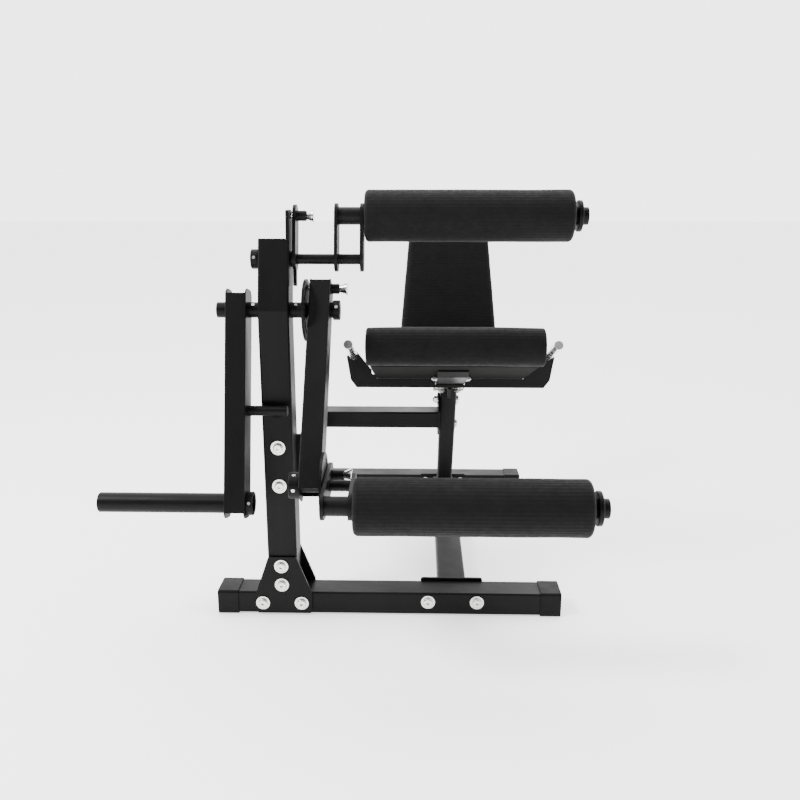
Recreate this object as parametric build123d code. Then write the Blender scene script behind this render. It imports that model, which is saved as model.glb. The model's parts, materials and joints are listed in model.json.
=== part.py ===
from build123d import *
import os
from math import atan2, cos, degrees, hypot, pi, radians, sin, tan

# Plate-loaded leg extension / leg curl machine. Millimetres, Z up, -Y is the side the user's feet point to.
# Every place below is measured from the front left bottom corner of the main post; export_node() then
# shifts the whole machine so that the origin is the middle of its footprint, on the floor.
ORIGIN_X, ORIGIN_Y = 201.5, 311.5

# Driving dimensions
WALL = 3.0                  # wall of every steel tube
TUBE_CORNER = 5.0           # outer corner radius of the square tubes
POST = 75.0                 # main post, square tube
POST_KINK_Z = 798.0         # height where the front face of the post starts to lean back
POST_TOP_Z = 963.0          # height of the front edge of the post's top
POST_LEAN = 14.0            # degrees
FOOT_DEPTH, FOOT_LOW, FOOT_TOP = 75.0, 3.0, 63.0
FOOT_X0, FOOT_X1 = -133.0, 757.0
REAR_FOOT_Y = 916.0
CAP_LENGTH, CAP_PROUD = 54.0, 3.0
PLATE = 6.0                 # flanges and gusset plates
MID_X = 478.0               # centre plane of the seat
BEAM_WIDTH, BEAM_HEIGHT, BEAM_Z = 75.0, 50.0, 39.0
BRACE_Z, BRACE_H = 397.0, 50.0
CROSS_Y0, CROSS_Y1 = 474.0, 549.0
SEAT_TILT = 18.0
SEAT_POST_TILT = 34.6
SEAT_POST_AXIS = (525.6, 466.8)
SEAT_POST_X0, SEAT_POST_X1 = 453.0, 503.0
BOLT_R, HEAD_R, WASHER_R = 6.0, 12.5, 18.0
WASHER_T, HEAD_T, NUT_T, NUT_AF = 2.5, 7.0, 10.0, 19.0
HOLE_R = 6.5

# Seat frame: 'a' runs back along the underside of the pad and 'h' stands off it.
SEAT_REF = (60.0, 656.0)    # (y, z) where a = 0 and h = 0
RAIL_A0, RAIL_A1, RAIL_H0, RAIL_WIDTH, RAIL_WALL = 118.0, 569.0, -17.0, 82.0, 4.0
NECK_BOLT_A = 400.0
SIDE_SCREW_A, SIDE_SCREW_H, SIDE_SCREW_R = 265.0, -8.6, 4.0
SADDLE_A0, SADDLE_A1 = 372.0, 530.0
SEAT_WIDTH = 454.0
ROLL_A, ROLL_R = 25.0, 49.0
PAD_A1, PAD_THICK, BOARD_T = 515.0, 70.0, 12.0
BACK_A, BACK_T = 502.0, 55.0
BACK_H0, BACK_H1 = 136.0, 525.0
BACK_LOW_W, BACK_TOP_W = 306.0, 246.0
BACK_TUBE, BACK_TUBE_TOP = 40.0, 470.0
HANDLE_X = 281.5            # from the seat's centre plane to a handle
BRACKET_Y = 392.0

AXLE = (37.5, 796.0)        # main axle, in Y and Z
SHAFT_R = 12.5
FIT = 0.05                  # radial clearance of a shaft in its bush
HUB_R = 19.0
LEVER_LEAN, SWING_LEAN = 14.6, 34.4
LEVER_X0, LEVER_X1 = -77.6, -27.6
SWING_X0, SWING_X1 = 122.0, 172.0
ARM_DEPTH = 75.0
LEVER_SLEEVE_S = 470.0      # from the axle down to the plate sleeve
STOP_ROD_S = 245.0
SLEEVE_R = 24.15
SPIGOT_R = 23.6             # the sleeve is turned down where it sits in the lever
INDEX_R = 58.0              # radius of the index holes
CRANK_PIVOT = (-209.0, 436.0)
CRANK_CENTRES = 106.0
CRANK_ROLLER = (-315.0, 429.0)
CRANK_PIN = (-151.0, 440.0)
THIGH_BAR = (68.0, 916.0)
THIGH_CENTRES = 105.0
ROLLER_TUBE_R = 21.2
FOAM_R, FOAM_LENGTH = 62.5, 501.0
LOWER_FOAM_X0, THIGH_FOAM_X0 = 249.5, 254.0
END_COLLAR_GAP, TUBE_BEYOND = 10.0, 37.0     # past the end of the foam
FOAM_GAP = 0.35
BUSH_R, BUSH_LENGTH = 16.0, 14.0
THIGH_BUSH_FLANGE = 3.1
THIGH_COLLAR_X0 = -21.0
PIN_R, BARREL_R = 6.0, 12.5
SCREW_R = 4.0               # set screws
HUB_PLAY = 0.4              # between a turning hub and what it stands beside
LEVER_HUB_X0, SLEEVE_END_X, SLEEVE_WALL = -103.5, -389.0, 3.2
DISC_X0, DISC_X1 = 110.0, 116.0
SECTOR_X1 = 178.0
CRANK_INNER_X0, CRANK_OUTER_X0, ROD_COLLAR_X0 = 180.0, 239.0, 98.5
THIGH_ARM_X0, THIGH_INNER_X0, THIGH_OUTER_X0 = 81.0, 181.5, 243.5
PIN_CLEAR = 0.4             # pop-pin nose stands this far off the index plate when pulled


# ---------------------------------------------------------------- shared shapes
def block(x0, x1, y0, y1, z0, z1):
    """Box given by its six faces."""
    centre = Pos((x0 + x1) / 2, (y0 + y1) / 2, (z0 + z1) / 2)
    return centre * Box(x1 - x0, y1 - y0, z1 - z0)


def rod_x(x0, x1, yz, radius):
    """Round bar along X."""
    return Pos((x0 + x1) / 2, yz[0], yz[1]) * Rot(0, 90, 0) * Cylinder(radius, x1 - x0)


def ring_x(x0, x1, yz, outer, inner):
    """Round tube along X."""
    return rod_x(x0, x1, yz, outer) - rod_x(x0 - 1, x1 + 1, yz, inner)


def rod_between(start, end, radius):
    """Round bar from one point to another."""
    run = Vector(*end) - Vector(*start)
    plane = Plane(origin=start, z_dir=run)
    return plane * Pos(0, 0, run.length / 2) * Cylinder(radius, run.length)


def plate_yz(x0, x1, points, corner=0.0):
    """Flat plate standing in the YZ plane, from an outline of (y, z) points."""
    face = make_face(Polyline(*points, close=True))
    if corner:
        face = fillet(face.vertices(), corner)
    return extrude(Plane.YZ.offset(x0) * face, amount=x1 - x0, dir=(1, 0, 0))


def plate_xz(y0, y1, points, corner=0.0):
    """Flat plate standing in the XZ plane, from an outline of (x, z) points."""
    face = make_face(Polyline(*points, close=True))
    if corner:
        face = fillet(face.vertices(), corner)
    return extrude(Plane.XZ.offset(-y0) * face, amount=y1 - y0, dir=(0, 1, 0))


def rounded_yz(x0, x1, y0, y1, z0, z1, corner):
    """Rounded rectangle standing in the YZ plane."""
    face = Pos((y0 + y1) / 2, (z0 + z1) / 2) * RectangleRounded(y1 - y0, z1 - z0, corner)
    return extrude(Plane.YZ.offset(x0) * face, amount=x1 - x0, dir=(1, 0, 0))


def link_plate(x0, x1, a, b, end_r):
    """Flat link with round ends about two centres, in the YZ plane."""
    length = hypot(b[0] - a[0], b[1] - a[1])
    ny, nz = (b[1] - a[1]) / length * end_r, -(b[0] - a[0]) / length * end_r
    corners = [(a[0] + ny, a[1] + nz), (b[0] + ny, b[1] + nz), (b[0] - ny, b[1] - nz), (a[0] - ny, a[1] - nz)]
    return plate_yz(x0, x1, corners) + rod_x(x0, x1, a, end_r) + rod_x(x0, x1, b, end_r)


def square_tube(width, depth, length, corner=TUBE_CORNER):
    """Open rectangular tube standing on the origin along Z."""
    outer = extrude(RectangleRounded(width, depth, corner), amount=length)
    hollow = RectangleRounded(width - 2 * WALL, depth - 2 * WALL, corner - WALL / 2)
    return outer - extrude(Pos(0, 0, -1) * hollow, amount=length + 2)


def tube_x(x0, x1, yc, zc, depth, height):
    """Rectangular tube along X."""
    return Pos(x0, yc, zc) * Rot(0, 90, 0) * square_tube(height, depth, x1 - x0)


def tube_y(y0, y1, xc, zc, width, height):
    """Rectangular tube along Y."""
    return Pos(xc, y0, zc) * Rot(-90, 0, 0) * square_tube(width, height, y1 - y0)


def along_x(yz, x0, x1, radius=HOLE_R):
    """Cutter for a hole along X."""
    return rod_x(x0, x1, yz, radius)


def along_y(xz, y0, y1, radius=HOLE_R):
    """Cutter for a hole along Y."""
    return Pos(xz[0], (y0 + y1) / 2, xz[1]) * Rot(90, 0, 0) * Cylinder(radius, y1 - y0)


def leaned(angle, yz, part):
    """Turn a part drawn upright about the X axis through the origin, then put it at (y, z)."""
    return Pos(0, yz[0], yz[1]) * Rot(-angle, 0, 0) * part


def on_lean(angle, yz, down, back=0.0):
    """(y, z) of a point 'down' along a leaned arm and 'back' from its centre line."""
    turn = radians(angle)
    return (yz[0] - down * sin(turn) + back * cos(turn), yz[1] - down * cos(turn) - back * sin(turn))


def solids_of(*parts):
    """Separate solids kept side by side in one node."""
    return Compound(children=[solid for part in parts for solid in part.solids()])


def export_node(name, part):
    """Write one node, moved to the machine's own origin."""
    export_step(Pos(-ORIGIN_X, -ORIGIN_Y, 0) * part, f"parts/{name}.step")


# ---------------------------------------------------------------- bolts
# Each bolt: the point under its head's washer, the direction of its shank, and the thickness it grips.
GUSSET_BOLTS_XZ = [(35.0, 139.0), (35.0, 87.0), (-16.0, 35.5), (85.0, 35.5)]
BEAM_BOLTS_XZ = [(414.0, BEAM_Z), (541.0, BEAM_Z)]
BRACE_BOLTS_XZ = [(37.5, 457.0), (37.5, 356.0)]
SEAT_POST_BOLT_DROPS = [24.0, 138.0]
NECK_BOLT_X = [MID_X - 24.0, MID_X + 24.0]


def seat_point(a, h):
    """(y, z) of a place given in the seat frame."""
    return on_lean(SEAT_TILT, SEAT_REF, -h, a)


def on_seat(part):
    """Put a part drawn in the seat frame (y = a, z = h) on the machine."""
    return leaned(SEAT_TILT, SEAT_REF, part)


def seat_post_point(down):
    return on_lean(-SEAT_POST_TILT, SEAT_POST_AXIS, down)


def bolt_places():
    places = [((x, -PLATE, z), (0, 1, 0), POST + 2 * PLATE) for x, z in GUSSET_BOLTS_XZ]
    places += [((x, 0, z), (0, 1, 0), FOOT_DEPTH + PLATE) for x, z in BEAM_BOLTS_XZ]
    places += [((x, REAR_FOOT_Y + FOOT_DEPTH, z), (0, -1, 0), FOOT_DEPTH + PLATE) for x, z in BEAM_BOLTS_XZ]
    places += [((x, 0, z), (0, 1, 0), POST + PLATE) for x, z in BRACE_BOLTS_XZ]
    for down in SEAT_POST_BOLT_DROPS:
        y, z = seat_post_point(down)
        places.append(((SEAT_POST_X1, y, z), (-1, 0, 0), SEAT_POST_X1 - SEAT_POST_X0 + PLATE))
    seat_down = (0, -sin(radians(SEAT_TILT)), -cos(radians(SEAT_TILT)))
    for x in NECK_BOLT_X:
        y, z = seat_point(NECK_BOLT_A, RAIL_H0 + RAIL_WALL - WASHER_T)
        places.append(((x, y, z), seat_down, RAIL_WALL + PLATE - WASHER_T))
    return places


def bolt(grip):
    """Button head, shank and thread end as one turned piece, head below the origin."""
    head = Pos(0, 0, -WASHER_T - HEAD_T / 2) * Cylinder(HEAD_R, HEAD_T)
    head = fillet(head.edges().filter_by(GeomType.CIRCLE).sort_by(Axis.Z)[0], 4.0)
    socket = extrude(Pos(0, 0, -WASHER_T - HEAD_T) * RegularPolygon(4.6, 6), amount=4.0)
    shank_length = grip + 2 * WASHER_T + NUT_T + 4
    shank = Pos(0, 0, shank_length / 2 - WASHER_T) * Cylinder(BOLT_R, shank_length)
    return head + shank - socket


def washers(grip):
    near = Pos(0, 0, -WASHER_T / 2) * (Cylinder(WASHER_R, WASHER_T) - Cylinder(HOLE_R, WASHER_T))
    return [near, Pos(0, 0, grip + WASHER_T) * near]


def nut(grip):
    body = extrude(RegularPolygon(NUT_AF / 2 / cos(pi / 6), 6), amount=NUT_T)
    return Pos(0, 0, grip + WASHER_T) * (body - Cylinder(BOLT_R + FIT, 3 * NUT_T))


def build_fasteners():
    bolts, washer_list, nuts = [], [], []
    for point, direction, grip in bolt_places():
        plane = Plane(origin=point, z_dir=direction)
        in_rail = grip < PLATE + RAIL_WALL
        bolts.append(plane * bolt(grip))
        washer_list += [plane * piece for piece in washers(grip)[1 if in_rail else 0:]]
        nuts.append(plane * nut(grip))
    export_node("frame_bolts", solids_of(*bolts))
    export_node("frame_washers", solids_of(*washer_list))
    export_node("frame_nuts", solids_of(*nuts))


# ---------------------------------------------------------------- base
def build_feet():
    for name, y0, bolts, gusset in (("front", 0.0, BEAM_BOLTS_XZ, GUSSET_BOLTS_XZ[2:]),
                                    ("rear", REAR_FOOT_Y, BEAM_BOLTS_XZ, [])):
        y1 = y0 + FOOT_DEPTH
        middle_y, middle_z = (y0 + y1) / 2, (FOOT_LOW + FOOT_TOP) / 2
        foot = tube_x(FOOT_X0, FOOT_X1, middle_y, middle_z, FOOT_DEPTH, FOOT_TOP - FOOT_LOW)
        for xz in bolts + gusset:
            foot -= along_y(xz, y0 - 1, y1 + 1)
        export_node(f"{name}_foot", foot)
        caps = [foot_cap(x_end, inward, y0, y1) for x_end, inward in ((FOOT_X0, 1), (FOOT_X1, -1))]
        export_node(f"{name}_foot_caps", solids_of(*caps))


def foot_cap(x_end, inward, y0, y1):
    """Moulded sleeve closed at its outer end, which carries the foot 3 mm off the floor."""
    x_out, x_in = x_end - inward * CAP_PROUD, x_end + inward * (CAP_LENGTH - CAP_PROUD)
    low, high = min(x_out, x_in), max(x_out, x_in)
    shell = block(low, high, y0 - CAP_PROUD, y1 + CAP_PROUD, 0, FOOT_TOP + CAP_PROUD)
    shell = fillet(shell.edges().filter_by(Axis.X), 7.0)
    outer_face = shell.faces().sort_by(Axis.X)[0 if inward > 0 else -1]
    shell = fillet(outer_face.edges(), 2.5)
    mouth = x_in + inward
    pocket = block(min(x_end, mouth), max(x_end, mouth), y0, y1, FOOT_LOW, FOOT_TOP)
    return shell - fillet(pocket.edges().filter_by(Axis.X), TUBE_CORNER - 0.4)


def build_gussets():
    outline = [(1.6, 164), (-33, 64), (-33, 6), (112, 6), (112, 64), (73.4, 164)]
    plates = []
    for y0 in (-PLATE, POST):
        plate = plate_xz(y0, y0 + PLATE, outline, 7.0)
        for xz in GUSSET_BOLTS_XZ:
            plate -= along_y(xz, y0 - 1, y0 + PLATE + 1)
        plates.append(plate)
    export_node("post_gussets", solids_of(*plates))


def build_base_beam():
    beam = tube_y(FOOT_DEPTH + PLATE, REAR_FOOT_Y - PLATE, MID_X, BEAM_Z, BEAM_WIDTH, BEAM_HEIGHT)
    for y0 in (FOOT_DEPTH, REAR_FOOT_Y - PLATE):
        flange = plate_xz(y0, y0 + PLATE, [(395, 8), (560, 8), (560, 70), (395, 70)], 6.0)
        for xz in BEAM_BOLTS_XZ:
            flange -= along_y(xz, y0 - 1, y0 + PLATE + 1)
        beam += flange
    export_node("base_beam", beam)


# ---------------------------------------------------------------- post and braces
def post_path_point(inset, beyond=0.0):
    """(y, z) on the leaning part's top edge, 'inset' behind the front face."""
    turn = radians(POST_LEAN)
    front_y = (POST_TOP_Z - POST_KINK_Z) * tan(turn)
    return (front_y + inset * cos(turn) + beyond * sin(turn),
            POST_TOP_Z - inset * sin(turn) + beyond * cos(turn))


def build_post():
    half = POST / 2
    kink = (half, POST_KINK_Z - half * tan(radians(POST_LEAN) / 2))
    top = post_path_point(half)
    path = Polyline((half, half, FOOT_TOP), (half, kink[0], kink[1]), (half, top[0], top[1]))
    inner_top = post_path_point(half, 5)
    inner_path = Polyline((half, half, FOOT_TOP - 5), (half, kink[0], kink[1]), (half, inner_top[0], inner_top[1]))
    start, inner_start = Pos(half, half, FOOT_TOP), Pos(half, half, FOOT_TOP - 5)
    outer = sweep(start * RectangleRounded(POST, POST, TUBE_CORNER), path=path, transition=Transition.RIGHT)
    room = POST - 2 * WALL
    hollow = sweep(inner_start * RectangleRounded(room, room, TUBE_CORNER - WALL / 2),
                   path=inner_path, transition=Transition.RIGHT)
    post = outer - hollow
    for xz in GUSSET_BOLTS_XZ[:2] + BRACE_BOLTS_XZ:
        post -= along_y(xz, -1, POST + 1)
    post -= along_x(AXLE, -1, POST + 1, BUSH_R)
    post -= along_x(THIGH_BAR, -1, POST + 1, BUSH_R)
    export_node("main_post", post)



def build_tube_caps():
    """Flat plastic lids on the main post and on the backrest tube."""
    half = POST / 2
    post_lid = block(1, 66, -half + 1, half - 1, 0, 4)
    post_lid = fillet(post_lid.faces().sort_by(Axis.Z)[-1].edges(), 1.0)
    post_lid = Pos(0, *post_path_point(half)) * Rot(-POST_LEAN, 0, 0) * post_lid
    half, tube_a = BACK_TUBE / 2, BACK_A + BACK_T + BOARD_T + 0.1
    back_lid = block(MID_X - half, MID_X + half, tube_a, tube_a + BACK_TUBE, BACK_TUBE_TOP, BACK_TUBE_TOP + 4)
    back_lid = fillet(back_lid.faces().sort_by(Axis.Z)[-1].edges(), 1.0)
    export_node("tube_caps", solids_of(post_lid, on_seat(back_lid)))


def bush(yz, outer_side, flange):
    """Plain bush pressed into one wall of the post, with a flange outside it."""
    inward = 1 if outer_side == 0 else -1
    x_wall = 0.0 if outer_side == 0 else POST
    inner_end = x_wall + inward * BUSH_LENGTH
    body = rod_x(min(x_wall, inner_end), max(x_wall, inner_end), yz, BUSH_R - FIT)
    if flange:
        outer_end = x_wall - inward * flange
        body += rod_x(min(x_wall, outer_end), max(x_wall, outer_end), yz, HUB_R)
    return body - rod_x(-20, POST + 20, yz, SHAFT_R + FIT)


def build_post_bushes():
    axle_pair = [bush(AXLE, 0, 0), bush(AXLE, 1, 0)]
    thigh_pair = [bush(THIGH_BAR, 0, THIGH_BUSH_FLANGE), bush(THIGH_BAR, 1, 0)]
    export_node("post_bushes", solids_of(*axle_pair, *thigh_pair))


def build_stop_bumper():
    pad = Pos(38, 0, 550) * Rot(90, 0, 0) * Cylinder(15, 11.2, align=(Align.CENTER, Align.CENTER, Align.MIN))
    export_node("stop_bumper", fillet(pad.edges().filter_by(GeomType.CIRCLE).sort_by(Axis.Y)[0], 2.5))


def build_braces():
    flange = plate_xz(POST, POST + PLATE, [(0, 325), (110, 325), (110, 470), (0, 470)], 12.0)
    for xz in BRACE_BOLTS_XZ:
        flange -= along_y(xz, POST - 1, POST + PLATE + 1)
    export_node("brace_tube", flange + tube_y(POST + PLATE, CROSS_Y0, 80.0, BRACE_Z, 50.0, BRACE_H))
    cross_mid, cross_depth = (CROSS_Y0 + CROSS_Y1) / 2, CROSS_Y1 - CROSS_Y0
    tube = tube_x(55, SEAT_POST_X0 - PLATE, cross_mid, BRACE_Z, cross_depth, BRACE_H)
    outline = [(470, 368), (470, 426), (505, 467), (556, 467), (628, 372), (628, 322), (575, 322)]
    plate = plate_yz(SEAT_POST_X0 - PLATE, SEAT_POST_X0, outline, 8.0)
    for down in SEAT_POST_BOLT_DROPS:
        plate -= along_x(seat_post_point(down), SEAT_POST_X0 - 20, SEAT_POST_X1)
    export_node("cross_tube", tube + plate)


def build_seat_post():
    reach_up, reach_down, half_depth = 120.0, 560.0, 25.0
    width = SEAT_POST_X1 - SEAT_POST_X0
    tube = Pos(MID_X, 0, -reach_down) * square_tube(width, 2 * half_depth, reach_down + reach_up)
    tube = leaned(-SEAT_POST_TILT, SEAT_POST_AXIS, tube)
    tube -= block(0, 900, 0, 1500, -300, BEAM_Z + BEAM_HEIGHT / 2)
    tube -= on_seat(block(0, 900, 0, 900, RAIL_H0 - PLATE, 400))
    for down in SEAT_POST_BOLT_DROPS:
        tube -= along_x(seat_post_point(down), SEAT_POST_X0 - 20, SEAT_POST_X1 + 20)
    low, under = RAIL_H0 - 34, RAIL_H0 - PLATE
    rib = [(376, under), (post_front_a(under), under), (post_front_a(low), low), (420, low), (376, under - 8)]
    export_node("seat_post", tube + on_seat(plate_yz(MID_X - 5, MID_X + 5, rib)))


# ---------------------------------------------------------------- seat and backrest
def seat_hole(x, a, h0, h1):
    """Cutter square to the seat."""
    return Pos(x, a, (h0 + h1) / 2) * Cylinder(HOLE_R, h1 - h0)


def build_seat_rail():
    x0, x1 = MID_X - RAIL_WIDTH / 2, MID_X + RAIL_WIDTH / 2
    side = [(RAIL_A0, 0), (RAIL_A0, -5), (RAIL_A0 + 28, RAIL_H0), (RAIL_A1, RAIL_H0), (RAIL_A1, 0)]
    inside = [(RAIL_A0 + 4, 1), (RAIL_A0 + 4, -3), (RAIL_A0 + 29, RAIL_H0 + RAIL_WALL),
              (RAIL_A1 + 1, RAIL_H0 + RAIL_WALL), (RAIL_A1 + 1, 1)]
    channel = plate_yz(x0, x1, side) - plate_yz(x0 + RAIL_WALL, x1 - RAIL_WALL, inside)
    for x in NECK_BOLT_X:
        channel -= seat_hole(x, NECK_BOLT_A, RAIL_H0 - 1, RAIL_H0 + RAIL_WALL + 1)
    channel -= along_x((SIDE_SCREW_A, SIDE_SCREW_H), x0 - 1, x1 + 1, SIDE_SCREW_R + FIT)
    export_node("seat_rail", on_seat(channel))

    screws = []
    for x, out in ((x0, -1), (x1, 1)):
        hexagon = extrude(RegularPolygon(7.0, 6), amount=8)
        screw = Pos(0, 0, 1.25) * Cylinder(8.5, 2.5) + Pos(0, 0, 2.5) * hexagon
        screw += Pos(0, 0, 1) * Cylinder(SIDE_SCREW_R, 26)
        screws.append(Pos(x, SIDE_SCREW_A, SIDE_SCREW_H) * Rot(0, 90 * out, 0) * screw)
    export_node("rail_side_screws", on_seat(solids_of(*screws)))

    saddle = block(MID_X - 46, MID_X + 46, SADDLE_A0, SADDLE_A1, RAIL_H0 - PLATE, RAIL_H0)
    saddle = fillet(saddle.edges().filter_by(Axis.Z), 10.0)
    for x in NECK_BOLT_X:
        saddle -= seat_hole(x, NECK_BOLT_A, RAIL_H0 - PLATE - 1, RAIL_H0 + 1)
    export_node("seat_post_saddle", on_seat(saddle))


def post_front_a(h):
    """Where the front face of the seat post crosses a plane parallel to the seat."""
    turn = radians(SEAT_TILT + SEAT_POST_TILT)
    y, z = on_lean(-SEAT_POST_TILT, SEAT_POST_AXIS, 0, -25.0)
    dy, dz = y - SEAT_REF[0], z - SEAT_REF[1]
    tilt = radians(SEAT_TILT)
    a0, h0 = dy * cos(tilt) - dz * sin(tilt), dy * sin(tilt) + dz * cos(tilt)
    return a0 - (h - h0) * tan(turn)


def build_seat():
    x0, x1 = MID_X - SEAT_WIDTH / 2, MID_X + SEAT_WIDTH / 2
    board = block(x0 + 14, x1 - 14, ROLL_A + 10, PAD_A1 - 8, 0, BOARD_T)
    board = fillet(board.edges().filter_by(Axis.Z), 12.0)
    export_node("seat_board", on_seat(board))

    slope_end = ROLL_A + 2.2 * ROLL_R
    turn = radians(62)
    lead = (ROLL_A + ROLL_R * cos(turn), ROLL_R + ROLL_R * sin(turn))
    bottom = BOARD_T + 0.1
    wedge = make_face(Polyline((ROLL_A, ROLL_R), lead, (slope_end, PAD_THICK), (slope_end, bottom),
                               (ROLL_A, bottom), close=True))
    slab_mid = ((ROLL_A + PAD_A1) / 2, (bottom + PAD_THICK) / 2)
    slab = Pos(*slab_mid) * RectangleRounded(PAD_A1 - ROLL_A, PAD_THICK - bottom, 16.0)
    roll = Pos(ROLL_A, ROLL_R) * Circle(ROLL_R)
    section = roll + slab + wedge - Pos(ROLL_A + 8 + 100, BOARD_T / 2) * Rectangle(200, BOARD_T + 0.2)
    pad = extrude(Plane.YZ.offset(x0) * section, amount=SEAT_WIDTH, dir=(1, 0, 0))
    export_node("seat_pad", on_seat(pad))


def build_handles():
    half = [(43, 519.5), (273, 519.5), (290, 543), (301, 612), (273, 627), (231, 574), (228.3, 571),
            (228.3, 558), (214.5, 557.5), (214.5, 544.5), (43, 544.5)]
    right = [(MID_X + x, z) for x, z in half]
    left = [(MID_X - x, z) for x, z in half]
    middle = [(MID_X - 45, 519.5), (MID_X + 45, 519.5), (MID_X + 45, 528), (MID_X - 45, 528)]
    bracket = plate_xz(BRACKET_Y, BRACKET_Y + PLATE, right, 4.0)
    bracket += plate_xz(BRACKET_Y, BRACKET_Y + PLATE, left, 4.0)
    bracket += plate_xz(BRACKET_Y, BRACKET_Y + PLATE, middle)
    export_node("handle_bracket", bracket)
    handles = []
    for x in (MID_X - HANDLE_X, MID_X + HANDLE_X):
        handle = rod_between((x, BRACKET_Y + 20, 607.5), (x, 219.0, 678.5), SHAFT_R)
        handle -= block(x - 20, x + 20, BRACKET_Y, BRACKET_Y + 60, 560, 660)
        handles.append(fillet(handle.faces().sort_by(Axis.Y)[0].edges(), 1.0))
    export_node("handles", solids_of(*handles))


def back_outline(inset):
    """Half widths of the backrest at its lower and upper edges, less an inset."""
    low, top = BACK_LOW_W / 2 - inset, BACK_TOP_W / 2 - inset
    return [(MID_X - low, BACK_H0 + inset), (MID_X + low, BACK_H0 + inset),
            (MID_X + top, BACK_H1 - inset), (MID_X - top, BACK_H1 - inset)]


def build_backrest():
    pad = plate_xz(BACK_A, BACK_A + BACK_T, back_outline(0.0), 24.0)
    pad = fillet(pad.faces().sort_by(Axis.Y)[0].edges(), 14.0)
    export_node("backrest_pad", on_seat(pad))
    back = BACK_A + BACK_T + 0.1
    export_node("backrest_board", on_seat(plate_xz(back, back + BOARD_T, back_outline(14.0), 20.0)))
    tube_a = back + BOARD_T
    length = BACK_TUBE_TOP - RAIL_H0
    tube = Pos(MID_X, tube_a + BACK_TUBE / 2, RAIL_H0) * square_tube(BACK_TUBE, BACK_TUBE, length, 4.0)
    export_node("backrest_tube", on_seat(tube))


# ---------------------------------------------------------------- lever arm and axle
def arm_tube(x0, x1, side_top, wall_top, wall_low, side_low, corner):
    """Rectangular arm whose side walls run on past its front and back walls."""
    half = ARM_DEPTH / 2
    sides = [rounded_yz(x, x + WALL, -half, half, -side_low, side_top, corner) for x in (x0, x1 - WALL)]
    walls = [block(x0, x1, y, y + WALL, -wall_low, wall_top) for y in (-half, half - WALL)]
    arm = sides[0] + sides[1] + walls[0] + walls[1]
    long_edges = arm.edges().filter_by(Axis.Z).filter_by(lambda e: e.length > 200)
    outer = [e for e in long_edges if abs(abs(e.center().Y) - half) < 0.01]
    return fillet([e for e in outer if min(abs(e.center().X - x0), abs(e.center().X - x1)) < 0.01], 2.5)


def lever_point(down, back=0.0):
    return on_lean(LEVER_LEAN, AXLE, down, back)


def set_screw(x, yz, outer, inner, turn):
    """Cup-point screw with a hex socket, standing radially in a collar."""
    reach = outer - inner - 1.0
    screw = Pos(0, 0, reach / 2) * Cylinder(SCREW_R - FIT, reach)
    socket = extrude(Pos(0, 0, reach - 3) * RegularPolygon(2.3, 6), amount=4)
    return Pos(x, yz[0], yz[1]) * Rot(-turn, 0, 0) * Pos(0, 0, inner + 0.1) * (screw - socket)


def screw_hole(x, yz, outer, turn):
    return Pos(x, yz[0], yz[1]) * Rot(-turn, 0, 0) * Pos(0, 0, outer / 2 + 5) * Cylinder(SCREW_R, outer + 10)


def collar_with_screws(x0, x1, yz, outer, inner, x_screw, turns):
    """Set collar drilled for its screws, and the screws themselves."""
    ring = ring_x(x0, x1, yz, outer, inner)
    ring = chamfer(ring.edges().filter_by(GeomType.CIRCLE).filter_by(lambda e: e.radius > outer - 0.01), 1.0)
    for turn in turns:
        ring -= screw_hole(x_screw, yz, outer, turn)
    return ring, [set_screw(x_screw, yz, outer, SHAFT_R if inner < 15 else inner, turn) for turn in turns]


def build_lever():
    screws = []
    arm = leaned(LEVER_LEAN, AXLE, arm_tube(LEVER_X0, LEVER_X1, 50, 37, 490, 505, 24))
    sleeve_at, stop_at = lever_point(LEVER_SLEEVE_S), lever_point(STOP_ROD_S)
    hub_turns = (-35.0, 85.0)
    arm += rod_x(LEVER_HUB_X0, LEVER_X0, AXLE, HUB_R)
    arm += rod_x(LEVER_X1, -HUB_PLAY, AXLE, HUB_R)
    arm -= along_x(AXLE, LEVER_HUB_X0 - 1, 1, SHAFT_R + FIT)
    arm -= along_x(sleeve_at, LEVER_X0 - 1, LEVER_X1 + 1, SPIGOT_R + FIT)
    arm -= along_x(stop_at, LEVER_X1 - WALL - 1, LEVER_X1 + 1, SHAFT_R + FIT)
    for turn in hub_turns:
        arm -= screw_hole(-15, AXLE, HUB_R, turn)
        screws.append(set_screw(-15, AXLE, HUB_R, SHAFT_R, turn))
    export_node("lever_arm", arm)

    stop = rod_x(LEVER_X1 - WALL, 69, stop_at, SHAFT_R)
    export_node("stop_rod", chamfer(stop.edges().filter_by(GeomType.CIRCLE).sort_by(Axis.X)[-1], 1.5))

    sleeve = rod_x(SLEEVE_END_X, LEVER_X0, sleeve_at, SLEEVE_R) + rod_x(LEVER_X0, -12, sleeve_at, SPIGOT_R)
    sleeve -= rod_x(SLEEVE_END_X - 1, -11, sleeve_at, SLEEVE_R - SLEEVE_WALL)
    rim = sleeve.edges().filter_by(GeomType.CIRCLE).filter_by(lambda e: e.radius > SLEEVE_R - 0.01)
    export_node("plate_sleeve", chamfer(rim.sort_by(Axis.X)[0], 1.2))
    plug = rod_x(SLEEVE_END_X + 1, SLEEVE_END_X + 21, sleeve_at, SLEEVE_R - SLEEVE_WALL - FIT)
    export_node("sleeve_end_cap", plug)
    collar, more = collar_with_screws(LEVER_X1, -12, sleeve_at, SLEEVE_R + 4.5, SPIGOT_R + FIT,
                                      -19.5, (-70, 50))
    export_node("sleeve_collar", collar)
    screws += more
    build_axle(screws)
    export_node("lever_set_screws", solids_of(*screws))


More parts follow.
